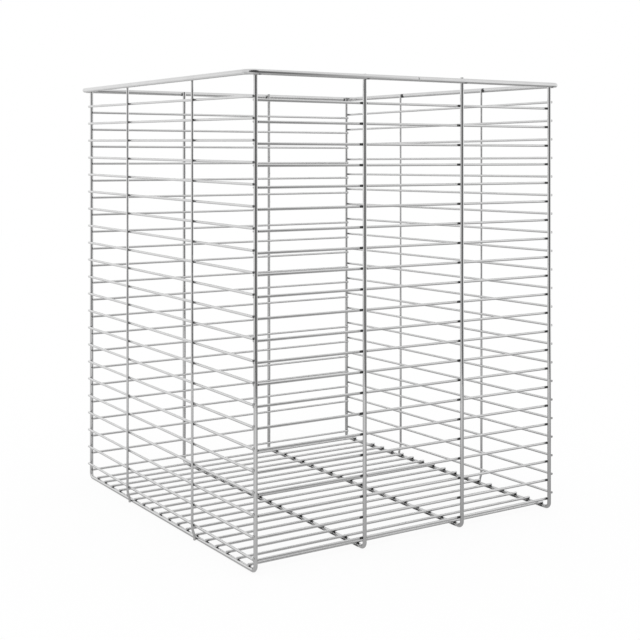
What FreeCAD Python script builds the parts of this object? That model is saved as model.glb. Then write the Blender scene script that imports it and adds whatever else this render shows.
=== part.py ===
import FreeCAD, Part
import math
import os

import Sketcher

# A retail dump bin: an open basket of straight round wires, resistance-welded to four
# U-shaped frame wires and four side uprights, with a heavier wire ring around the mouth.
#
# Millimetres. +X runs along the front wall from left to right, +Y from the front wall to
# the back wall and +Z up. The origin is on the ground, in the middle of the bin's plan.
#
# Every wire touches the wires that it is welded to, so their centre lines lie one radius
# of each apart. From the inside out, a side wall has the frame wires, the wall wires, the
# uprights and the ring. In the front and back walls the wall wires are inside the legs of
# the frame wires, and the ring is outside them.

SIZES = {
    # wire diameters
    "frame_wire_dia": 6.0,
    "wall_wire_dia": 4.0,
    "floor_wire_dia": 4.0,
    "upright_dia": 4.0,
    "rim_wire_dia": 8.0,
    # plan of the frame, between the centre lines of its outermost legs
    "frame_width": 560.0,
    "frame_depth": 576.0,
    # bend at the foot of each leg, on the centre line
    "frame_bend_radius": 8.0,
    # how far the two middle frame wires stand above the top of the rim
    "second_frame_tip": 0.8,
    "third_frame_tip": 2.0,
    # heights of the wall courses, taken on the front and back walls
    "first_course_height": 16.5,
    "course_pitch": 30.5,
    "top_band_height": 38.0,
    # side-wall wires lie this far above the front and back wires of their course
    "left_lift_at_front": 4.7,
    "left_lift_at_back": 11.0,
    "right_lift_at_front": 10.5,
    "right_lift_at_back": 7.2,
    # ends of the wires, past the centre line of the corner legs
    "cross_wire_reach": 0.5,
    "left_reach_at_front": 3.0,
    "left_reach_at_back": 0.5,
    "right_reach_at_front": 1.5,
    "right_reach_at_back": 1.5,
    "floor_wire_reach": 2.0,
    # first and last floor wire, from the centre lines of the front and back legs
    "floor_front_gap": 17.0,
    "floor_back_gap": 31.0,
    # uprights, from the centre line of the front legs
    "left_front_upright_set_back": 171.0,
    "left_back_upright_set_back": 402.5,
    "right_front_upright_set_back": 175.0,
    "right_back_upright_set_back": 407.0,
    "upright_below_rim_top": 2.0,
    "upright_foot_clearance": 0.5,
    # the uprights jog inwards under the lowest wall wire, down to the frame wire's side
    "jog_above_first_course": 2.5,
    "jog_bend_radius": 8.0,
    # corners of the rim, on the centre line, and how much higher its back side lies
    "rim_corner_radius": 14.0,
    "rim_back_rise": 1.6,
}

FRAME_WIRE_COUNT = 4
FLOOR_WIRE_COUNT = 18
COURSE_COUNT = 22

# Places that several pieces share, as formulas on the cells of the sheet.
FRAME_X = "(Sizes.frame_width / 2)"
FRAME_Y = "(Sizes.frame_depth / 2)"
FRAME_RUN_Z = "(Sizes.frame_wire_dia / 2)"
CROSS_WIRE_Y = f"({FRAME_Y} - (Sizes.frame_wire_dia + Sizes.wall_wire_dia) / 2)"
SIDE_WIRE_X = f"({FRAME_X} + (Sizes.frame_wire_dia + Sizes.wall_wire_dia) / 2)"
UPRIGHT_X = f"({SIDE_WIRE_X} + (Sizes.wall_wire_dia + Sizes.upright_dia) / 2)"
UPRIGHT_FOOT_X = f"({FRAME_X} + (Sizes.frame_wire_dia + Sizes.upright_dia) / 2)"
RIM_X = f"({UPRIGHT_X} + (Sizes.upright_dia + Sizes.rim_wire_dia) / 2)"
RIM_Y = f"({FRAME_Y} + (Sizes.frame_wire_dia + Sizes.rim_wire_dia) / 2)"
TOP_COURSE_Z = f"(Sizes.first_course_height + {COURSE_COUNT - 1} * Sizes.course_pitch)"
RIM_Z = f"({TOP_COURSE_Z} + Sizes.top_band_height)"
RIM_TOP_Z = f"({RIM_Z} + Sizes.rim_wire_dia / 2)"
RIM_TILT = f"atan(Sizes.rim_back_rise / (2 * {RIM_Y}))"
RIM_DEPTH = f"(2 * {RIM_Y} / cos({RIM_TILT}))"
UPRIGHT_TOP_Z = f"({RIM_TOP_Z} - Sizes.upright_below_rim_top)"
JOG_TOP_Z = "(Sizes.first_course_height + Sizes.jog_above_first_course)"
FLOOR_WIRE_Z = "(Sizes.frame_wire_dia + Sizes.floor_wire_dia / 2)"

# Ends of a sketched line or arc, and the sketch's own origin and horizontal axis.
START = 1
END = 2
ORIGIN = (-1, 1)
HORIZONTAL_AXIS = -1

doc = FreeCAD.newDocument("dump_bin")
sheet = doc.addObject("Spreadsheet::Sheet", "Sizes")


def fill_sheet():
    for row, (alias, value) in enumerate(SIZES.items(), start=1):
        sheet.set(f"A{row}", alias)
        sheet.set(f"B{row}", str(value))
        sheet.setAlias(f"B{row}", alias)
    doc.recompute()


def value_of(formula):
    """Today's value of a formula, for the first draft of a sketch."""
    return float(sheet.evalExpression(formula))


def place(piece, x, y, z):
    """Bind the place of a piece to three formulas."""
    piece.setExpression("Placement.Base.x", x)
    piece.setExpression("Placement.Base.y", y)
    piece.setExpression("Placement.Base.z", z)


def straight_wire(name, diameter, length):
    """A cut length of round wire, standing on its own origin along +Z."""
    wire = doc.addObject("Part::Cylinder", name)
    wire.Label = name
    wire.setExpression("Radius", f"{diameter} / 2")
    wire.setExpression("Height", length)
    return wire


def turn(piece, axis, angle):
    """Turn a piece about one of its own axes, by a formula in degrees."""
    piece.Placement.Rotation = FreeCAD.Rotation(axis, value_of(angle))
    piece.setExpression("Placement.Rotation.Angle", angle)


def line(x1, y1, x2, y2):
    return Part.LineSegment(FreeCAD.Vector(x1, y1, 0), FreeCAD.Vector(x2, y2, 0))


def arc(centre_x, centre_y, radius, start, end):
    """An arc that runs anticlockwise between two angles in degrees."""
    centre = FreeCAD.Vector(centre_x, centre_y, 0)
    circle = Part.Circle(centre, FreeCAD.Vector(0, 0, 1), radius)
    return Part.ArcOfCircle(circle, math.radians(start), math.radians(end))


def new_sketch(body, name, plane):
    """A sketch on one of the body's own origin planes."""
    sketch = body.newObject("Sketcher::SketchObject", name)
    support = [item for item in body.Origin.OriginFeatures if item.Role == plane]
    sketch.AttachmentSupport = [(support[0], "")]
    sketch.MapMode = "FlatFace"
    return sketch


def relate(sketch, kind, *places):
    sketch.addConstraint(Sketcher.Constraint(kind, *places))


def join_in_order(sketch):
    """Make each edge of a sketch start where the one before it ends, and tangent to it."""
    for index in range(sketch.GeometryCount - 1):
        relate(sketch, "Tangent", index, END, index + 1, START)


def measure(sketch, name, kind, formula, *places):
    """A named dimension of a sketch, bound to a formula."""
    index = sketch.addConstraint(Sketcher.Constraint(kind, *places, value_of(formula)))
    sketch.renameConstraint(index, name)
    sketch.setExpression(f"Constraints.{name}", formula)


def bent_wire(name, plane, section_plane, diameter, draw_path):
    """A round wire swept along a sketched path that starts at the body's origin."""
    body = doc.addObject("PartDesign::Body", name)
    body.Label = name
    path = new_sketch(body, f"{name}_path", plane)
    draw_path(path)
    section = new_sketch(body, f"{name}_section", section_plane)
    circle = Part.Circle(FreeCAD.Vector(0, 0, 0), FreeCAD.Vector(0, 0, 1), value_of(diameter) / 2)
    section.addGeometry(circle, False)
    relate(section, "Coincident", 0, 3, *ORIGIN)
    measure(section, "wire_diameter", "Diameter", diameter, 0)
    pipe = body.newObject("PartDesign::AdditivePipe", f"{name}_pipe")
    pipe.Profile = section
    pipe.Spine = path
    return body


def draw_rim(path):
    """A closed ring with rounded corners, from the middle of its front side."""
    half_x = value_of(RIM_X)
    depth = value_of(RIM_DEPTH)
    radius = value_of("Sizes.rim_corner_radius")
    near_x = half_x - radius
    path.addGeometry([
        line(0, 0, near_x, 0),
        arc(near_x, radius, radius, -90, 0),
        line(half_x, radius, half_x, depth - radius),
        arc(near_x, depth - radius, radius, 0, 90),
        line(near_x, depth, -near_x, depth),
        arc(-near_x, depth - radius, radius, 90, 180),
        line(-half_x, depth - radius, -half_x, radius),
        arc(-near_x, radius, radius, 180, 270),
        line(-near_x, 0, 0, 0),
    ], False)
    join_in_order(path)
    relate(path, "Coincident", 0, START, *ORIGIN)
    relate(path, "Coincident", 8, END, *ORIGIN)
    relate(path, "Horizontal", 0)
    relate(path, "Vertical", 2)
    relate(path, "Horizontal", 4)
    relate(path, "Vertical", 6)
    for corner in (3, 5, 7):
        relate(path, "Equal", 1, corner)
    measure(path, "corner_radius", "Radius", "Sizes.rim_corner_radius", 1)
    measure(path, "right_side", "DistanceX", RIM_X, *ORIGIN, 2, START)
    measure(path, "left_side", "DistanceX", RIM_X, 6, START, *ORIGIN)
    measure(path, "depth", "DistanceY", RIM_DEPTH, *ORIGIN, 4, START)


def make_rim():
    """The ring around the mouth. It tilts a little, about its front side."""
    rim = bent_wire("top_rim", "XY_Plane", "YZ_Plane", "Sizes.rim_wire_dia", draw_rim)
    turn(rim, FreeCAD.Vector(1, 0, 0), RIM_TILT)
    place(rim, "0", f"-{RIM_Y}", RIM_Z)
    return rim


def make_frame_wire(number, tip_z):
    """A U of wire: down the front wall, along the floor and up the back wall."""
    leg = f"({tip_z} - {FRAME_RUN_Z})"

    def draw_u(path):
        drop = value_of(leg)
        depth = value_of("Sizes.frame_depth")
        radius = value_of("Sizes.frame_bend_radius")
        path.addGeometry([
            line(0, 0, 0, radius - drop),
            arc(radius, radius - drop, radius, 180, 270),
            line(radius, -drop, depth - radius, -drop),
            arc(depth - radius, radius - drop, radius, 270, 360),
            line(depth, radius - drop, depth, 0),
        ], False)
        join_in_order(path)
        relate(path, "Coincident", 0, START, *ORIGIN)
        relate(path, "Vertical", 0)
        relate(path, "Horizontal", 2)
        relate(path, "Vertical", 4)
        relate(path, "PointOnObject", 4, END, HORIZONTAL_AXIS)
        relate(path, "Equal", 1, 3)
        measure(path, "bend_radius", "Radius", "Sizes.frame_bend_radius", 1)
        measure(path, "leg_height", "DistanceY", leg, 2, START, *ORIGIN)
        measure(path, "leg_to_leg", "DistanceX", "Sizes.frame_depth", *ORIGIN, 4, END)

    name = f"frame_wire_{number}"
    wire = bent_wire(name, "YZ_Plane", "XY_Plane", "Sizes.frame_wire_dia", draw_u)
    spacing = f"Sizes.frame_width / {FRAME_WIRE_COUNT - 1}"
    place(wire, f"{number - 1} * {spacing} - {FRAME_X}", f"-{FRAME_Y}", tip_z)
    return wire


def draw_upright(path):
    """Straight down the wall, then a small double bend in to the side of the frame wire."""
    drop = value_of(f"{UPRIGHT_TOP_Z} - {JOG_TOP_Z}")
    inward = value_of(f"{UPRIGHT_X} - {UPRIGHT_FOOT_X}")
    foot = value_of(f"{UPRIGHT_TOP_Z} - Sizes.upright_foot_clearance")
    radius = value_of("Sizes.jog_bend_radius")
    angle = math.degrees(math.acos(1 - inward / (2 * radius)))
    jog_height = 2 * radius * math.sin(math.radians(angle))
    path.addGeometry([
        line(0, 0, 0, -drop),
        arc(radius, -drop, radius, 180, 180 + angle),
        arc(inward - radius, -drop - jog_height, radius, 0, angle),
        line(inward, -drop - jog_height, inward, -foot),
    ], False)
    relate(path, "Coincident", 0, START, *ORIGIN)
    relate(path, "Tangent", 0, END, 1, START)
    relate(path, "Tangent", 1, END, 2, END)
    relate(path, "Tangent", 2, START, 3, START)
    relate(path, "Vertical", 0)
    relate(path, "Vertical", 3)
    relate(path, "Equal", 1, 2)
    measure(path, "bend_radius", "Radius", "Sizes.jog_bend_radius", 1)
    measure(path, "straight", "DistanceY", f"{UPRIGHT_TOP_Z} - {JOG_TOP_Z}", 0, END, *ORIGIN)
    measure(path, "inward", "DistanceX", f"{UPRIGHT_X} - {UPRIGHT_FOOT_X}", *ORIGIN, 3, END)
    measure(path, "length", "DistanceY", f"{UPRIGHT_TOP_Z} - Sizes.upright_foot_clearance",
            3, END, *ORIGIN)


def make_upright(side, end):
    """An upright outside the wires of a side wall. Those on the right are turned round."""
    name = f"{side}_upright_{end}"
    wire = bent_wire(name, "XZ_Plane", "XY_Plane", "Sizes.upright_dia", draw_upright)
    x = f"-{UPRIGHT_X}" if side == "left" else UPRIGHT_X
    place(wire, x, f"Sizes.{side}_{end}_upright_set_back - {FRAME_Y}", UPRIGHT_TOP_Z)
    if side == "right":
        wire.Placement.Rotation = FreeCAD.Rotation(FreeCAD.Vector(0, 0, 1), 180)
    return wire


def make_floor_wire(number):
    """A straight wire that lies across the floor runs of the frame wires."""
    name = f"floor_wire_{number:02d}"
    wire = straight_wire(name, "Sizes.floor_wire_dia",
                         "Sizes.frame_width + 2 * Sizes.floor_wire_reach")
    turn(wire, FreeCAD.Vector(0, 1, 0), "90 deg")
    run = f"(Sizes.frame_depth - Sizes.floor_front_gap - Sizes.floor_back_gap)"
    step = f"{number - 1} * {run} / {FLOOR_WIRE_COUNT - 1}"
    place(wire, f"-({FRAME_X} + Sizes.floor_wire_reach)",
          f"Sizes.floor_front_gap + {step} - {FRAME_Y}", FLOOR_WIRE_Z)
    return wire


def make_cross_wire(name, y):
    """The front or back wire of a course, at the height of the course."""
    wire = straight_wire(name, "Sizes.wall_wire_dia",
                         "Sizes.frame_width + 2 * Sizes.cross_wire_reach")
    turn(wire, FreeCAD.Vector(0, 1, 0), "90 deg")
    place(wire, f"-({FRAME_X} + Sizes.cross_wire_reach)", y, "0")
    return wire


def make_side_wire(name, side, x):
    """The left or right wire of a course. It slopes a little, and starts at the back."""
    back_lift = f"Sizes.{side}_lift_at_back"
    front_reach = f"Sizes.{side}_reach_at_front"
    back_reach = f"Sizes.{side}_reach_at_back"
    rise = f"(({back_lift} - Sizes.{side}_lift_at_front) / Sizes.frame_depth)"
    run = f"(Sizes.frame_depth + {front_reach} + {back_reach})"
    wire = straight_wire(name, "Sizes.wall_wire_dia", f"{run} / cos(atan({rise}))")
    turn(wire, FreeCAD.Vector(1, 0, 0), f"90 deg + atan({rise})")
    place(wire, x, f"{FRAME_Y} + {back_reach}", f"{back_lift} + {back_reach} * {rise}")
    return wire


def make_wall_course(number):
    """The four straight wires at one level of the walls, each welded on by itself."""
    name = f"wall_course_{number:02d}"
    course = doc.addObject("Part::Compound", name)
    course.Label = name
    course.Links = [
        make_cross_wire(f"{name}_front", f"-{CROSS_WIRE_Y}"),
        make_cross_wire(f"{name}_back", CROSS_WIRE_Y),
        make_side_wire(f"{name}_left", "left", f"-{SIDE_WIRE_X}"),
        make_side_wire(f"{name}_right", "right", SIDE_WIRE_X),
    ]
    place(course, "0", "0", f"Sizes.first_course_height + {number - 1} * Sizes.course_pitch")
    return course


def make_sub_parts():
    sub_parts = [
        make_rim(),
        make_frame_wire(1, RIM_TOP_Z),
        make_frame_wire(2, f"({RIM_TOP_Z} + Sizes.second_frame_tip)"),
        make_frame_wire(3, f"({RIM_TOP_Z} + Sizes.third_frame_tip)"),
        make_frame_wire(4, RIM_TOP_Z),
        make_upright("left", "front"),
        make_upright("left", "back"),
        make_upright("right", "front"),
        make_upright("right", "back"),
    ]
    for number in range(1, FLOOR_WIRE_COUNT + 1):
        sub_parts.append(make_floor_wire(number))
    for number in range(1, COURSE_COUNT + 1):
        sub_parts.append(make_wall_course(number))
    return sub_parts


def check(sub_parts):
    """Stop before anything is written if an object failed or a shape is unusable."""
    for item in doc.Objects:
        if "Invalid" in item.State or "Error" in item.State:
            raise RuntimeError(f"{item.Label} is in state {item.State}")
    for piece in sub_parts:
        if piece.Shape.isNull() or not piece.Shape.isValid():
            raise RuntimeError(f"{piece.Label} has no valid shape")


def write(sub_parts):
    os.makedirs("parts", exist_ok=True)
    for piece in sub_parts:
        piece.Shape.exportStep(f"parts/{piece.Label}.step")
        print(f"{piece.Label}: {len(piece.Shape.Solids)} solids, {piece.Shape.Volume:.0f} mm3")


fill_sheet()
pieces = make_sub_parts()
doc.recompute()
check(pieces)
write(pieces)
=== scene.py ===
import math
import random
from collections import namedtuple

import bmesh
import bpy
from mathutils import Matrix, Vector


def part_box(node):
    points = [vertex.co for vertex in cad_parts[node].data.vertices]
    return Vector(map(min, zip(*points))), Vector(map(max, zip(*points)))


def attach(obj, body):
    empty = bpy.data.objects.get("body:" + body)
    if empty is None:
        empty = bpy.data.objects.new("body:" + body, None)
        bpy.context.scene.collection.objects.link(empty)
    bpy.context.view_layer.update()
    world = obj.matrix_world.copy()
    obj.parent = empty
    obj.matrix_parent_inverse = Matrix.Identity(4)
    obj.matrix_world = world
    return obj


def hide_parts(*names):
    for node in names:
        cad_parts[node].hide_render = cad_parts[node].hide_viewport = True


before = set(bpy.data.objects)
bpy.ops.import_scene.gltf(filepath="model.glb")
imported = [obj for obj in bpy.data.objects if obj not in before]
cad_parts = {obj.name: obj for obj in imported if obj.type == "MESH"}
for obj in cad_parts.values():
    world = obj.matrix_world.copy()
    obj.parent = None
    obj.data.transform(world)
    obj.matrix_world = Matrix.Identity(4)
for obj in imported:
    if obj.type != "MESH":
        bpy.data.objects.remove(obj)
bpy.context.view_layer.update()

# A retail dump bin of bright plated wire. Metres, in the same frame as the solids: +X along
# the front wall, +Y from the front wall to the back wall, +Z up, origin on the ground.
# Finer wires stand for all the solids and lie where they lie. Welds are added, and beside them
# dark skins of painted shade and painted dark reflection.

ALONG_X = Vector((1, 0, 0))
ALONG_Y = Vector((0, 1, 0))
UP = Vector((0, 0, 1))
AXIS_NAMES = "XYZ"
QUARTER_TURN = math.radians(90)
# Which way is out of the bin, along the axis that crosses each wall.
OUTWARD = {"front": -1, "back": 1, "left": -1, "right": 1}

# What the boxes of the solids don't tell: the rim's wire, and the bends on the centre lines.
RIM_WIRE_RADIUS = 0.004
RIM_CORNER_RADIUS = 0.014
FRAME_BEND_RADIUS = 0.008
JOG_BEND_RADIUS = 0.03
JOG_TOP = 0.0235

# How finely the round wires are drawn.
THIN_SIDES = 20
THICK_SIDES = 28
STEPS_PER_BEND = 10
CUT_CHAMFER = 0.0003
SHARP_ANGLE = math.radians(35)
# A run gets a ring this far inside each of its ends, unless the run itself is short. At a cut
# end the chamfer starts there.
BEND_GUARD = 0.0003
SHORT_RUN = 4 * BEND_GUARD
# Points of the solids' meshes that are nearer than this are one point.
MERGE_DISTANCE = 0.000001

# A weld's collar: how far along its axis, and its radius there. It ends inside both wires. Its
# size, its place and its outline differ a little from weld to weld.
WELD_PROFILE = ((-0.0014, 0.0017), (-0.001, 0.00172), (-0.0005, 0.00162), (0.0, 0.00156),
                (0.0005, 0.00162), (0.001, 0.00172), (0.0014, 0.0017))
WELD_SIDES = 14
WELD_SIZES = (0.93, 1.1)
WELD_WANDER = 0.0002
WELD_LUMPS = (0.94, 1.07)
# The side walls' welds at the corner legs sit this much further in than the leg's middle, so
# that they don't stick out beside the leg.
WELD_INSET = 0.0014

# The skin of dark weld metal on a wire beside a weld, which is painted shade and a painted dark
# reflection of the wires that touch there: how far it reaches along the wire each way, and the
# shares of that from its least to its most. It thins out over the stations, from a lift above the
# wire at the weld to a sink below its surface at the ends.
SKIN_REACH_AT_LEG = 0.0083
SKIN_REACH_AT_UPRIGHT = 0.003
SKIN_REACH_ON_FLOOR = 0.006
SKIN_REACH_ON_RUN = 0.0035
SKIN_REACH_ON_FLANK = 0.0165
SKIN_REACH_ON_RIM = 0.006
SKIN_REACH_SHARES = (0.8, 1.15)
SKIN_LEAST_REACH = 0.0001
SKIN_LIFT = 0.00012
SKIN_SINK = 0.00008
SKIN_STATIONS = (-1.0, -0.8, -0.6, -0.35, 0.0, 0.35, 0.6, 0.8, 1.0)
# More room than any skin fills, where a weld is far from the wire's ends and bends.
OPEN_ROOM = (1.0, 1.0)
# On the rim, how far a skin faces down for each metre that it faces into the bin.
SKIN_DROP_AT_LEG = 2.0
SKIN_DROP_AT_UPRIGHT = 0.3
# The skins on the flanks of the floor runs, painted shade and a painted reflection of the floor
# wires, face this much to the side, which is a little down, and lie this much deeper in the wire,
# so that they don't reach under it.
FLANK_SIDE = math.radians(-30)
FLANK_SINK = 0.00006

# The butt weld in the rim: a narrow groove.
SEAM_HALF_WIDTH = 0.0006
SEAM_DEPTH = 0.0005

# A finish: its grey level and the share of it where it is darkest, the values of the pattern
# between which it changes, its roughness and the shares of that, and how strong and high its
# bumps are.
Finish = namedtuple("Finish", "level darkest changes roughness smoothest roughest bump bump_height")
PLATING = Finish(level=0.745, darkest=0.93, changes=(0.3, 0.7), roughness=0.1,
                 smoothest=0.75, roughest=1.35, bump=0.12, bump_height=0.00005)
# The dark weld metal, which also paints the shade and dark reflections of the skins beside the welds.
WELD_SCALE_AND_PAINTED_SHADE = Finish(level=0.15, darkest=0.72, changes=(0.35, 0.65), roughness=0.3,
                    smoothest=0.7, roughest=1.4, bump=0.4, bump_height=0.0001)
# How often the patterns change in a metre, and their layers of detail.
DRAW_LINES_ALONG = 25.0
DRAW_LINES_ACROSS = 2600.0
DRAW_LINE_DETAIL = 3.0
TARNISH_SCALE = 38.0
TARNISH_DETAIL = 4.0
LUMP_SCALE = 900.0
LUMP_DETAIL = 3.0

# The camera stands level, with its verticals kept upright by the shift of its lens.
CAMERA_PLACE = Vector((-1.11535, -1.69134, 0.57744))
CAMERA_YAW = math.radians(-32.36)
CAMERA_LENS = 66.288
CAMERA_SHIFT = (0.04942, -0.25472)
SENSOR_WIDTH = 36.0

# The studio as the metal mirrors it, where a level of 1 is white. The floor's levels go with x
# and y in metres, and are lower under the bin and to its right, a painted shadow of the bin that
# the metal mirrors. Those of the dark end in front go with x in metres.
FLOOR_REACH = 7.0
FLOOR_LEFT_TO_RIGHT = ((-2.6, 0.85), (-1.4, 0.86), (-1.0, 0.9), (-0.6, 0.92), (-0.42, 0.85),
                       (-0.3, 0.72), (0.0, 0.6), (0.3, 0.53), (0.7, 0.48), (1.0, 0.5),
                       (1.6, 0.66), (2.6, 0.8))
FLOOR_FRONT_TO_BACK = ((-1.2, 0.88), (-0.8, 0.86), (-0.5, 0.82), (-0.3, 0.74), (-0.1, 0.66),
                       (0.2, 0.68), (0.4, 0.84), (0.6, 0.9), (1.0, 0.86), (1.6, 0.85),
                       (2.6, 0.92))
# To the camera the floor is plain white by this share, and the rest takes the bin's shadow.
FLOOR_WHITE_SHARE = 0.9
FRONT_PLACE = -1.2
FRONT_BOTTOM = 0.04
FRONT_MIDDLE = 0.7
FRONT_LEVELS = ((-2.6, 0.75), (-2.0, 0.5), (-1.6, 0.24), (-1.2, 0.12), (-0.6, 0.08),
                (0.1, 0.09), (0.28, 0.14), (0.38, 0.26), (0.5, 0.5), (0.63, 0.72),
                (0.76, 0.86), (0.92, 0.94), (1.1, 0.96))
# How far the levels of the dark end shift to the left for each metre up.
FRONT_LEAN = 0.15
# The room's levels go with shares of its radius, up and from left to right.
ROOM_RADIUS = 3.2
ROOM_BOTTOM = -0.3
ROOM_SEGMENTS = 64
ROOM_RINGS = 32
ROOM_UP = ((0.0, 1.0), (0.42, 1.0), (0.6, 0.91), (1.0, 0.85))
ROOM_LEFT_TO_RIGHT = ((-1.0, 0.78), (-0.84, 0.85), (-0.65, 0.98), (-0.5, 0.97), (-0.2, 1.0))
WHITE = (1, 1, 1, 1)

# The wires as they are built: their centre lines and radii.
Wire = namedtuple("Wire", "start end radius")
Course = namedtuple("Course", "front back left right")
FrameWire = namedtuple("FrameWire", "x front back ground radius")
Upright = namedtuple("Upright", "side outer_x foot_x y radius")
Rim = namedtuple("Rim", "left right front back z slope radius")

# A weld joins two wires that touch at its place, and its normal crosses them both. A skin is
# painted shade and a painted dark reflection beside a weld: it lies on a wire, on the side that
# toward points to, and reaches along the wire each way from its centre. Its room is how far it
# may reach before and after.
Weld = namedtuple("Weld", "place normal")
Skin = namedtuple("Skin", "centre toward along radius reach room")


# ---------------------------------------------------------------- nodes and patterns

def new_material(name):
    """A material with Blender's own starting nodes, and its nodes and links."""
    material = bpy.data.materials.new(name)
    material.use_nodes = True
    return material, material.node_tree.nodes, material.node_tree.links


def add_node(nodes, kind, **values):
    """Add a node and set its inputs by name, with underscores for spaces."""
    node = nodes.new(kind)
    for name, value in values.items():
        node.inputs[name.replace("_", " ")].default_value = value
    return node


def grey(level):
    return (level, level, level, 1)


def grey_ramp(nodes, links, source, stops):
    """Plain greys that follow a value: each stop is a value and a level."""
    node = nodes.new("ShaderNodeValToRGB")
    elements = node.color_ramp.elements
    elements.remove(elements[1])
    first_value, first_level = stops[0]
    elements[0].position = first_value
    elements[0].color = grey(first_level)
    for value, level in stops[1:]:
        elements.new(value).color = grey(level)
    links.new(source, node.inputs["Fac"])
    return node.outputs["Color"]


def noise(nodes, links, place, scale, detail):
    node = add_node(nodes, "ShaderNodeTexNoise", Scale=scale, Detail=detail)
    links.new(place, node.inputs["Vector"])
    return node.outputs["Fac"]


# ---------------------------------------------------------------- materials

def apply_finish(material, finish, clouds, grain):
    """Tint a metal by its clouds, and polish and roughen it by its grain."""
    nodes, links = material.node_tree.nodes, material.node_tree.links
    shader = nodes["Principled BSDF"]
    shader.inputs["Metallic"].default_value = 1.0

    levels = (finish.level * finish.darkest, finish.level)
    tint = grey_ramp(nodes, links, clouds, list(zip(finish.changes, levels)))
    links.new(tint, shader.inputs["Base Color"])

    polish = add_node(nodes, "ShaderNodeMapRange", To_Min=finish.roughness * finish.smoothest,
                      To_Max=finish.roughness * finish.roughest)
    links.new(grain, polish.inputs["Value"])
    links.new(polish.outputs["Result"], shader.inputs["Roughness"])

    bump = add_node(nodes, "ShaderNodeBump", Strength=finish.bump, Distance=finish.bump_height)
    links.new(grain, bump.inputs["Height"])
    links.new(bump.outputs["Normal"], shader.inputs["Normal"])


def wire_metal(along):
    """Bright plating over drawn wire: faint draw lines along the wire and a little tarnish."""
    material, nodes, links = new_material(f"bright_wire_along_{along}")
    place = nodes.new("ShaderNodeTexCoord").outputs["Object"]
    scales = [DRAW_LINES_ALONG if axis == along else DRAW_LINES_ACROSS for axis in AXIS_NAMES]
    stretch = add_node(nodes, "ShaderNodeMapping", Scale=scales)
    links.new(place, stretch.inputs["Vector"])
    draw_lines = noise(nodes, links, stretch.outputs["Vector"], 1.0, DRAW_LINE_DETAIL)
    tarnish = noise(nodes, links, place, TARNISH_SCALE, TARNISH_DETAIL)
    apply_finish(material, PLATING, tarnish, draw_lines)
    return material


def weld_metal_and_painted_shade():
    """Plated-over weld metal: darker, lumpier and duller than the wires. On the skins beside the
    welds it is painted shade and painted dark reflection.
    """
    material, nodes, links = new_material("weld_metal_and_painted_shade")
    place = nodes.new("ShaderNodeTexCoord").outputs["Object"]
    lumps = noise(nodes, links, place, LUMP_SCALE, LUMP_DETAIL)
    apply_finish(material, WELD_SCALE_AND_PAINTED_SHADE, lumps, lumps)
    return material


# A wire's faces take the metal of the axis that they run along.
WIRE_METALS = [wire_metal(axis) for axis in AXIS_NAMES]
# Weld metal on the welds, and painted shade and painted dark reflection on the skins beside them.
WELD_METAL_AND_PAINTED_SHADE = weld_metal_and_painted_shade()


# ---------------------------------------------------------------- round sections and pieces

def axis_index(direction):
    """The axis that a direction runs most along, as 0, 1 or 2."""
    return max(range(3), key=lambda i: abs(direction[i]))


def ring(bm, centre, side, up, radius, sides):
    """Points round a centre, from side towards up."""
    made = []
    for k in range(sides):
        angle = 2 * math.pi * k / sides
        made.append(bm.verts.new(centre + radius * (math.cos(angle) * side + math.sin(angle) * up)))
    return made


def join_rings(bm, first, second, material_index):
    """A smooth wall between two rings."""
    sides = len(first)
    for k in range(sides):
        face = bm.faces.new((first[k], first[(k + 1) % sides], second[(k + 1) % sides], second[k]))
        face.smooth = True
        face.material_index = material_index


def close_end(bm, edge, centre, outward):
    """A flat cut face, fanned round its middle."""
    middle = bm.verts.new(centre)
    sides = len(edge)
    for k in range(sides):
        here, following = edge[k], edge[(k + 1) % sides]
        bm.faces.new((here, following, middle) if outward else (following, here, middle))


def finish_piece(bm, name, nodes, materials):
    """Turn a mesh into a piece of the bin, which stands for the nodes if there are any."""
    bmesh.ops.recalc_face_normals(bm, faces=bm.faces)
    mesh = bpy.data.meshes.new(name)
    bm.to_mesh(mesh)
    bm.free()
    for material in materials:
        mesh.materials.append(material)
    mesh.set_sharp_from_angle(angle=SHARP_ANGLE)
    piece = bpy.data.objects.new(name, mesh)
    bpy.context.scene.collection.objects.link(piece)
    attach(piece, "root")
    if nodes:
        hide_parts(*nodes)


# ---------------------------------------------------------------- wires

def with_guards(points, closed):
    """The points, and a point just inside each end of each longer run between them, so that the
    shading of a bend doesn't reach along the run."""
    stations = []
    count = len(points)
    for i in range(count if closed else count - 1):
        start, end = points[i], points[(i + 1) % count]
        along = (end - start).normalized()
        stations.append(start)
        if (end - start).length > SHORT_RUN:
            stations += [start + along * BEND_GUARD, end - along * BEND_GUARD]
    if not closed:
        stations.append(points[-1])
    return stations


def add_wire(bm, points, normal, radius, sides, closed=False):
    """Sweep a round section along points that lie in the plane across normal."""
    stations = with_guards(points, closed)
    count = len(stations)
    rings = []
    for i, station in enumerate(stations):
        before = stations[i - 1] if i or closed else station
        after = stations[(i + 1) % count] if i < count - 1 or closed else station
        up = (after - before).normalized().cross(normal).normalized()
        at_cut = not closed and i in (0, count - 1)
        rings.append(ring(bm, station, normal, up, radius - (CUT_CHAMFER if at_cut else 0), sides))
    for i in range(count if closed else count - 1):
        following = (i + 1) % count
        join_rings(bm, rings[i], rings[following], axis_index(stations[following] - stations[i]))
    if not closed:
        close_end(bm, rings[0], stations[0], False)
        close_end(bm, rings[-1], stations[-1], True)


def make_bent_wire(name, node, points, normal, radius, sides):
    """A piece of one wire, bent in the plane across normal, that stands for a node."""
    bm = bmesh.new()
    add_wire(bm, points, normal, radius, sides)
    finish_piece(bm, name, [node], WIRE_METALS)


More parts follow.
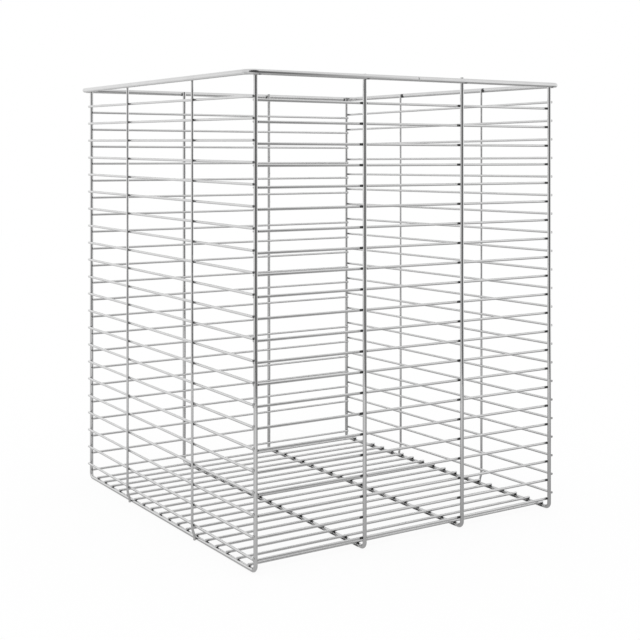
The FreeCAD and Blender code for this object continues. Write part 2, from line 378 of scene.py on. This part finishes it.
def arc_points(centre, start, normal, angle):
    """Points of an arc from start, turned about normal through centre, without its start."""
    made = []
    for step in range(1, STEPS_PER_BEND + 1):
        turn = Matrix.Rotation(angle * step / STEPS_PER_BEND, 3, normal)
        made.append(centre + turn @ (start - centre))
    return made


def islands(bm):
    """The places of the points of each separate solid in a mesh. A dictionary keeps its order,
    where a set would give another order, and so other roundings, each run."""
    left = dict.fromkeys(bm.verts)
    while left:
        island = [left.popitem()[0]]
        for vert in island:
            for edge in vert.link_edges:
                other = edge.other_vert(vert)
                if other in left:
                    del left[other]
                    island.append(other)
        yield [vert.co.copy() for vert in island]


def straight_wire(places):
    """The wire whose surface has points at these places."""
    low = Vector([min(place[i] for place in places) for i in range(3)])
    high = Vector([max(place[i] for place in places) for i in range(3)])
    along = axis_index(high - low)
    middle = (low[along] + high[along]) / 2
    starts = [place for place in places if place[along] < middle]
    ends = [place for place in places if place[along] > middle]
    start = sum(starts, Vector()) / len(starts)
    end = sum(ends, Vector()) / len(ends)
    return Wire(start, end, max((place - start).length for place in starts))


def straight_wires(node):
    """The straight wires of a node, read from its solids' mesh: those along x from front to
    back, then those along y from left to right."""
    bm = bmesh.new()
    bm.from_mesh(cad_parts[node].data)
    bmesh.ops.remove_doubles(bm, verts=bm.verts, dist=MERGE_DISTANCE)
    wires = [straight_wire(places) for places in islands(bm)]
    bm.free()
    wires.sort(key=lambda wire: (axis_index(wire.end - wire.start), wire.start.x, wire.start.y))
    return wires


def make_straight_wires(name, node):
    """A piece of the straight wires of a node, which it stands for."""
    bm = bmesh.new()
    wires = straight_wires(node)
    for wire in wires:
        along = wire.end - wire.start
        add_wire(bm, [wire.start, wire.end], UP.cross(along).normalized(), wire.radius, THIN_SIDES)
    finish_piece(bm, name, [node], WIRE_METALS)
    return wires


def make_floor_wire(number):
    wires = make_straight_wires(f"floor_bar_{number:02d}", f"floor_wire_{number:02d}")
    return wires[0]


def make_course(number):
    wires = make_straight_wires(f"wall_wires_{number:02d}", f"wall_course_{number:02d}")
    return Course(*wires)


def make_frame_wire(number):
    """A U, down the front wall, along the floor and up the back wall."""
    node = f"frame_wire_{number}"
    low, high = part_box(node)
    radius = (high.x - low.x) / 2
    x = (low.x + high.x) / 2
    front, back, ground = low.y + radius, high.y - radius, low.z + radius
    bend = FRAME_BEND_RADIUS
    points = [Vector((x, front, high.z)), Vector((x, front, ground + bend))]
    points += arc_points(Vector((x, front + bend, ground + bend)), points[-1], ALONG_X, QUARTER_TURN)
    points.append(Vector((x, back - bend, ground)))
    points += arc_points(Vector((x, back - bend, ground + bend)), points[-1], ALONG_X, QUARTER_TURN)
    points.append(Vector((x, back, high.z)))
    make_bent_wire(f"u_frame_{number}", node, points, ALONG_X, radius, THICK_SIDES)
    return FrameWire(x, front, back, ground, radius)


def make_upright(side, end):
    """A side wall's upright, with a jog in to the frame wire at its foot."""
    node = f"{side}_upright_{end}"
    low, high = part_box(node)
    radius = (high.y - low.y) / 2
    y = (low.y + high.y) / 2
    inward = -OUTWARD[side]
    left_x, right_x = low.x + radius, high.x - radius
    outer_x, foot_x = (left_x, right_x) if side == "left" else (right_x, left_x)

    jog = abs(foot_x - outer_x)
    angle = math.acos(1 - jog / (2 * JOG_BEND_RADIUS))
    fall = 2 * JOG_BEND_RADIUS * math.sin(angle)
    bend_start = Vector((outer_x, y, JOG_TOP))
    bend_end = Vector((foot_x, y, JOG_TOP - fall))
    to_centre = inward * JOG_BEND_RADIUS * ALONG_X
    points = [Vector((outer_x, y, high.z)), bend_start]
    points += arc_points(bend_start + to_centre, bend_start, ALONG_Y, -inward * angle)
    points += arc_points(bend_end - to_centre, points[-1], ALONG_Y, inward * angle)
    points.append(Vector((foot_x, y, low.z)))
    make_bent_wire(f"side_upright_{side}_{end}", node, points, ALONG_Y, radius, THIN_SIDES)
    return Upright(side, outer_x, foot_x, y, radius)


def rim_points(rim, seam_x):
    """The rim's centre line, from its seam round by the right, the back and the left."""
    corner = RIM_CORNER_RADIUS
    left, right = rim.left + corner, rim.right - corner
    front, back = rim.front + corner, rim.back - corner
    points = [Vector((seam_x, rim.front, rim.z)), Vector((seam_x + SEAM_HALF_WIDTH, rim.front, rim.z))]
    for x, y, outward in ((right, front, -ALONG_Y), (right, back, ALONG_X),
                          (left, back, ALONG_Y), (left, front, -ALONG_X)):
        centre = Vector((x, y, rim.z))
        points.append(centre + corner * outward)
        points += arc_points(centre, points[-1], UP, QUARTER_TURN)
    points.append(Vector((seam_x - SEAM_HALF_WIDTH, rim.front, rim.z)))
    return [point + (point.y - rim.front) * rim.slope * UP for point in points]


def press_seam(bm, seam):
    """Pull the ring round the seam in, which leaves a groove."""
    for vert in bm.verts:
        if vert.co.y < 0 and abs(vert.co.x - seam.x) < SEAM_HALF_WIDTH / 2:
            vert.co += SEAM_DEPTH * (seam - vert.co).normalized()


def make_rim():
    """The ring around the mouth, which rises a little to the back."""
    low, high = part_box("top_rim")
    radius = RIM_WIRE_RADIUS
    left, right = low.x + radius, high.x - radius
    front, back = low.y + radius, high.y - radius
    z = low.z + radius
    slope = (high.z - radius - z) / (back - front)
    rim = Rim(left, right, front, back, z, slope, radius)
    points = rim_points(rim, (left + right) / 2)
    bm = bmesh.new()
    add_wire(bm, points, Vector((0, -slope, 1)).normalized(), radius, THICK_SIDES, closed=True)
    press_seam(bm, points[0])
    finish_piece(bm, "rim_wire", ["top_rim"], WIRE_METALS)
    return rim


# ---------------------------------------------------------------- welds, and painted shade beside them

def add_weld(bm, weld, seed):
    """A squeezed-out collar of weld metal between two crossing wires."""
    random.seed(seed)
    slant = (Vector((1, 1, 1)) - weld.normal).normalized()
    side = slant.cross(weld.normal)
    size = random.uniform(*WELD_SIZES)
    middle = weld.place + random.uniform(-WELD_WANDER, WELD_WANDER) * side
    lumps = [random.uniform(*WELD_LUMPS) for _ in range(WELD_SIDES)]
    rings = []
    for offset, radius in WELD_PROFILE:
        made = []
        for k in range(WELD_SIDES):
            angle = 2 * math.pi * k / WELD_SIDES
            out = math.cos(angle) * side + math.sin(angle) * slant
            made.append(bm.verts.new(middle + offset * weld.normal + radius * size * lumps[k] * out))
        rings.append(made)
    for before, after in zip(rings, rings[1:]):
        join_rings(bm, before, after, 0)
    close_end(bm, rings[0], middle + WELD_PROFILE[0][0] * weld.normal, False)
    close_end(bm, rings[-1], middle + WELD_PROFILE[-1][0] * weld.normal, True)


def add_painted_shade_skin(bm, skin, seed):
    """A lens of dark weld metal on the side of a wire, which is painted shade and a painted dark
    reflection beside a weld. It thins out along the wire, and keeps within its room before and after
    the weld."""
    random.seed(seed)
    centre, toward, along = skin.centre, skin.toward, skin.along
    side = toward.cross(along).normalized()
    # How far it reaches before the weld, and after it.
    reach = []
    for free in skin.room:
        length = min(skin.reach * random.uniform(*SKIN_REACH_SHARES), free - CUT_CHAMFER)
        reach.append(max(length, SKIN_LEAST_REACH))
    rings = []
    for share in SKIN_STATIONS:
        middle = centre + share * reach[share > 0] * along + SKIN_LIFT * (1 - share * share) * toward
        radius = skin.radius - SKIN_SINK * share * share
        rings.append(ring(bm, middle, side, toward, radius, THIN_SIDES))
    for before, after in zip(rings, rings[1:]):
        join_rings(bm, before, after, 0)
    close_end(bm, rings[0], centre - reach[0] * along, False)
    close_end(bm, rings[-1], centre + reach[1] * along, True)


def make_welds(name, welds, skins):
    bm = bmesh.new()
    for number, weld in enumerate(welds):
        add_weld(bm, weld, f"{name}_{number}")
    for number, skin in enumerate(skins):
        add_painted_shade_skin(bm, skin, f"{name}_skin_{number}")
    finish_piece(bm, name, [], [WELD_METAL_AND_PAINTED_SHADE])


def room_between(low, place, high):
    return (place - low, high - place)


def wire_height(wire, y):
    """The height of a side wall's wire at y."""
    start, end = wire.start, wire.end
    return start.z + (end.z - start.z) * (y - start.y) / (end.y - start.y)


def rim_height(rim, y):
    return rim.z + (y - rim.front) * rim.slope


def weld_end_wall(wall, wires, frame_wires):
    """The front or back wall: each wire lies across the inner sides of the frame wires' legs."""
    outward = OUTWARD[wall]
    welds, skins = [], []
    for wire in wires:
        for leg in frame_wires:
            leg_y = leg.front if wall == "front" else leg.back
            welds.append(Weld(Vector((leg.x, leg_y - outward * leg.radius, wire.start.z)), ALONG_Y))
            # A skin on the wire beside each leg: painted shade and a painted dark reflection of the
            # leg.
            centre = Vector((leg.x, wire.start.y, wire.start.z))
            room = room_between(wire.start.x, leg.x, wire.end.x)
            skins.append(Skin(centre, outward * ALONG_Y, ALONG_X, wire.radius, SKIN_REACH_AT_LEG, room))
    make_welds(f"welds_{wall}_wall", welds, skins)


def weld_side_wall(wall, wires, outer_frame, uprights):
    """The left or right wall: each wire lies across the outer sides of the outer frame wire's
    legs, and the uprights lie across the outer sides of the wires."""
    outward = OUTWARD[wall]
    welds, skins = [], []
    for wire in wires:
        for y in (outer_frame.front + WELD_INSET, outer_frame.back - WELD_INSET):
            place = Vector((outer_frame.x + outward * outer_frame.radius, y, wire_height(wire, y)))
            welds.append(Weld(place, ALONG_X))
        for upright in uprights:
            z = wire_height(wire, upright.y)
            place = Vector((upright.outer_x - outward * upright.radius, upright.y, z))
            welds.append(Weld(place, ALONG_X))
            # A skin on the wire beside each upright: painted shade and a painted dark reflection.
            centre = Vector((wire.start.x, upright.y, z))
            along = (wire.end - wire.start).normalized()
            toward = outward * ALONG_X
            skins.append(Skin(centre, toward, along, wire.radius, SKIN_REACH_AT_UPRIGHT, OPEN_ROOM))
    make_welds(f"welds_{wall}_wall", welds, skins)


def run_painted_shade_skins(run, y, flanks):
    """Painted shade and painted dark reflection on a frame wire's floor run below a floor wire: on its
    top and on these flanks.
    """
    centre = Vector((run.x, y, run.ground))
    room = room_between(run.front + FRAME_BEND_RADIUS, y, run.back - FRAME_BEND_RADIUS)
    toward = (sum(flanks) * ALONG_X + UP).normalized()
    skins = [Skin(centre, toward, ALONG_Y, run.radius, SKIN_REACH_ON_RUN, room)]
    for flank in flanks:
        toward = flank * math.cos(FLANK_SIDE) * ALONG_X + math.sin(FLANK_SIDE) * UP
        skins.append(Skin(centre, toward, ALONG_Y, run.radius - FLANK_SINK, SKIN_REACH_ON_FLANK, room))
    return skins


def weld_floor(floor_wires, frame_wires, uprights):
    """The floor: its wires lie across the tops of the frame wires' runs, and the uprights' feet
    touch the two outer runs from outside. Painted shade and dark reflections lie on the floor wires'
    undersides and on the runs, and the outer runs carry them on their inner flanks only."""
    first_x, last_x = frame_wires[0].x, frame_wires[-1].x
    welds, skins = [], []
    for wire in floor_wires:
        y = wire.start.y
        for run in frame_wires:
            welds.append(Weld(Vector((run.x, y, run.ground + run.radius)), UP))
            room = room_between(wire.start.x, run.x, wire.end.x)
            # A skin under the floor wire beside each weld: painted shade and a painted dark reflection.
            centre = Vector((run.x, y, wire.start.z))
            skins.append(Skin(centre, -UP, ALONG_X, wire.radius, SKIN_REACH_ON_FLOOR, room))
            flanks = [flank for flank in (-1, 1) if first_x <= run.x + flank * run.radius <= last_x]
            skins += run_painted_shade_skins(run, y, flanks)
    for upright in uprights:
        x = upright.foot_x - OUTWARD[upright.side] * upright.radius
        welds.append(Weld(Vector((x, upright.y, frame_wires[0].ground)), ALONG_X))
    make_welds("welds_floor", welds, skins)


def weld_rim(rim, frame_wires, uprights):
    """The rim: the legs and the uprights stand against its inner side."""
    welds, skins = [], []
    for leg in frame_wires:
        room = room_between(rim.left + RIM_CORNER_RADIUS, leg.x, rim.right - RIM_CORNER_RADIUS)
        for y, inward in ((rim.front, 1), (rim.back, -1)):
            z = rim_height(rim, y)
            welds.append(Weld(Vector((leg.x, y + inward * rim.radius, z)), ALONG_Y))
            # A skin on the rim beside each leg, facing down and in: painted shade and painted dark
            # reflection.
            toward = (inward * ALONG_Y - SKIN_DROP_AT_LEG * UP).normalized()
            centre = Vector((leg.x, y, z))
            skins.append(Skin(centre, toward, ALONG_X, rim.radius, SKIN_REACH_ON_RIM, room))
    along = Vector((0, 1, rim.slope)).normalized()
    for upright in uprights:
        x = rim.left if upright.side == "left" else rim.right
        inward = -OUTWARD[upright.side]
        z = rim_height(rim, upright.y)
        welds.append(Weld(Vector((x + inward * rim.radius, upright.y, z)), ALONG_X))
        # A skin on the rim beside each upright: painted shade and painted dark reflection.
        toward = (inward * ALONG_X - SKIN_DROP_AT_UPRIGHT * UP).normalized()
        centre = Vector((x, upright.y, z))
        skins.append(Skin(centre, toward, along, rim.radius, SKIN_REACH_ON_RIM, OPEN_ROOM))
    make_welds("welds_rim", welds, skins)


# ---------------------------------------------------------------- stage, light and camera

def place_outputs(nodes, links):
    """A point's x, y and z in its own object."""
    place = nodes.new("ShaderNodeTexCoord")
    split = nodes.new("ShaderNodeSeparateXYZ")
    links.new(place.outputs["Object"], split.inputs[0])
    return split.outputs


def level_across(nodes, links, coordinate, levels, reach):
    """Grey levels against one coordinate, from -reach to reach."""
    share = add_node(nodes, "ShaderNodeMapRange", From_Min=-reach, From_Max=reach)
    links.new(coordinate, share.inputs["Value"])
    stops = [((1 + place / reach) / 2, level) for place, level in levels]
    return grey_ramp(nodes, links, share.outputs["Result"], stops)


def multiply(nodes, links, first, second):
    node = nodes.new("ShaderNodeMath")
    node.operation = "MULTIPLY"
    links.new(first, node.inputs[0])
    links.new(second, node.inputs[1])
    return node.outputs[0]


def mix_shaders(nodes, links, first, second):
    node = nodes.new("ShaderNodeMixShader")
    links.new(first, node.inputs[1])
    links.new(second, node.inputs[2])
    return node


def glow(nodes, links, level):
    node = add_node(nodes, "ShaderNodeEmission", Strength=1.0)
    links.new(level, node.inputs["Color"])
    return node.outputs[0]


def show_outside(nodes, links, shader):
    """Make a shader the one that the material shows."""
    output = nodes.new("ShaderNodeOutputMaterial")
    links.new(shader, output.inputs["Surface"])


def floor_material():
    """White to the camera but for the shadow. Mirrored in the metal, it has the floor's levels, with a
    painted shadow of the bin.
    """
    material, nodes, links = new_material("pale_floor")
    nodes.clear()
    diffuse = add_node(nodes, "ShaderNodeBsdfDiffuse", Color=WHITE).outputs[0]
    white = add_node(nodes, "ShaderNodeEmission", Strength=1.0).outputs[0]
    to_camera = mix_shaders(nodes, links, diffuse, white)
    to_camera.inputs["Fac"].default_value = FLOOR_WHITE_SHARE

    place = place_outputs(nodes, links)
    depth = level_across(nodes, links, place["Y"], FLOOR_FRONT_TO_BACK, FLOOR_REACH)
    width = level_across(nodes, links, place["X"], FLOOR_LEFT_TO_RIGHT, FLOOR_REACH)
    mirrored = glow(nodes, links, multiply(nodes, links, depth, width))

    either = mix_shaders(nodes, links, to_camera.outputs[0], mirrored)
    path = nodes.new("ShaderNodeLightPath")
    links.new(path.outputs["Is Glossy Ray"], either.inputs["Fac"])
    show_outside(nodes, links, either.outputs[0])
    return material


def make_floor():
    bpy.ops.mesh.primitive_plane_add(size=2 * FLOOR_REACH, location=(0, 0, 0))
    floor = bpy.context.object
    floor.name = "studio_floor"
    floor.data.materials.append(floor_material())


def show_to_metal_only(thing):
    """Show a thing in what the metal mirrors, and in nothing else."""
    thing.visible_camera = False
    thing.visible_diffuse = False
    thing.visible_shadow = False


def front_material():
    material, nodes, links = new_material("studio_front")
    nodes.clear()
    place = place_outputs(nodes, links)
    lean = nodes.new("ShaderNodeMath")
    lean.operation = "MULTIPLY_ADD"
    lean.inputs[1].default_value = FRONT_LEAN
    links.new(place["Y"], lean.inputs[0])
    links.new(place["X"], lean.inputs[2])
    level = level_across(nodes, links, lean.outputs[0], FRONT_LEVELS, ROOM_RADIUS)
    show_outside(nodes, links, glow(nodes, links, level))
    return material


def make_front():
    """The dark end of the studio, in front of the bin. It turns bright on the right."""
    bpy.ops.mesh.primitive_plane_add(size=2 * ROOM_RADIUS, location=(0, FRONT_PLACE, FRONT_MIDDLE),
                                     rotation=(QUARTER_TURN, 0, 0))
    front = bpy.context.object
    front.name = "studio_front"
    for vertex in front.data.vertices:
        vertex.co.y = max(vertex.co.y, FRONT_BOTTOM - FRONT_MIDDLE)
    front.data.materials.append(front_material())
    show_to_metal_only(front)


def room_material():
    material, nodes, links = new_material("studio_room")
    nodes.clear()
    place = place_outputs(nodes, links)
    heights = [(share * ROOM_RADIUS, level) for share, level in ROOM_UP]
    widths = [(share * ROOM_RADIUS, level) for share, level in ROOM_LEFT_TO_RIGHT]
    up = level_across(nodes, links, place["Z"], heights, ROOM_RADIUS)
    side = level_across(nodes, links, place["X"], widths, ROOM_RADIUS)
    show_outside(nodes, links, glow(nodes, links, multiply(nodes, links, up, side)))
    return material


def make_room():
    """The rest of the studio: a bright dome, a little darker overhead and on the left."""
    bm = bmesh.new()
    bmesh.ops.create_uvsphere(bm, u_segments=ROOM_SEGMENTS, v_segments=ROOM_RINGS, radius=ROOM_RADIUS)
    bmesh.ops.delete(bm, geom=[vert for vert in bm.verts if vert.co.z < ROOM_BOTTOM], context="VERTS")
    mesh = bpy.data.meshes.new("studio_room")
    bm.to_mesh(mesh)
    bm.free()
    mesh.materials.append(room_material())
    room = bpy.data.objects.new("studio_room", mesh)
    bpy.context.scene.collection.objects.link(room)
    show_to_metal_only(room)


def make_world():
    world = bpy.data.worlds.new("white_studio")
    bpy.context.scene.world = world
    world.use_nodes = True
    background = world.node_tree.nodes["Background"]
    background.inputs["Color"].default_value = WHITE
    background.inputs["Strength"].default_value = 1.0


def make_camera():
    data = bpy.data.cameras.new("level_camera")
    data.sensor_width = SENSOR_WIDTH
    data.lens = CAMERA_LENS
    data.shift_x, data.shift_y = CAMERA_SHIFT
    camera = bpy.data.objects.new("level_camera", data)
    camera.location = CAMERA_PLACE
    camera.rotation_euler = (QUARTER_TURN, 0, CAMERA_YAW)
    bpy.context.scene.collection.objects.link(camera)
    bpy.context.scene.camera = camera


# ---------------------------------------------------------------- the whole

def numbers(start):
    """The numbers of the nodes whose names begin with start. They count from 1."""
    count = sum(name.startswith(start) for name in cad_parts)
    return range(1, count + 1)


def make_bin():
    rim = make_rim()
    frame_wires = [make_frame_wire(number) for number in numbers("frame_wire_")]
    uprights = [make_upright(side, end) for side in ("left", "right") for end in ("front", "back")]
    floor_wires = [make_floor_wire(number) for number in numbers("floor_wire_")]
    courses = [make_course(number) for number in numbers("wall_course_")]

    weld_end_wall("front", [course.front for course in courses], frame_wires)
    weld_end_wall("back", [course.back for course in courses], frame_wires)
    left_uprights = [upright for upright in uprights if upright.side == "left"]
    right_uprights = [upright for upright in uprights if upright.side == "right"]
    weld_side_wall("left", [course.left for course in courses], frame_wires[0], left_uprights)
    weld_side_wall("right", [course.right for course in courses], frame_wires[-1], right_uprights)
    weld_floor(floor_wires, frame_wires, uprights)
    weld_rim(rim, frame_wires, uprights)


make_bin()
make_floor()
make_front()
make_room()
make_world()
make_camera()
bpy.context.scene.view_settings.view_transform = "Standard"
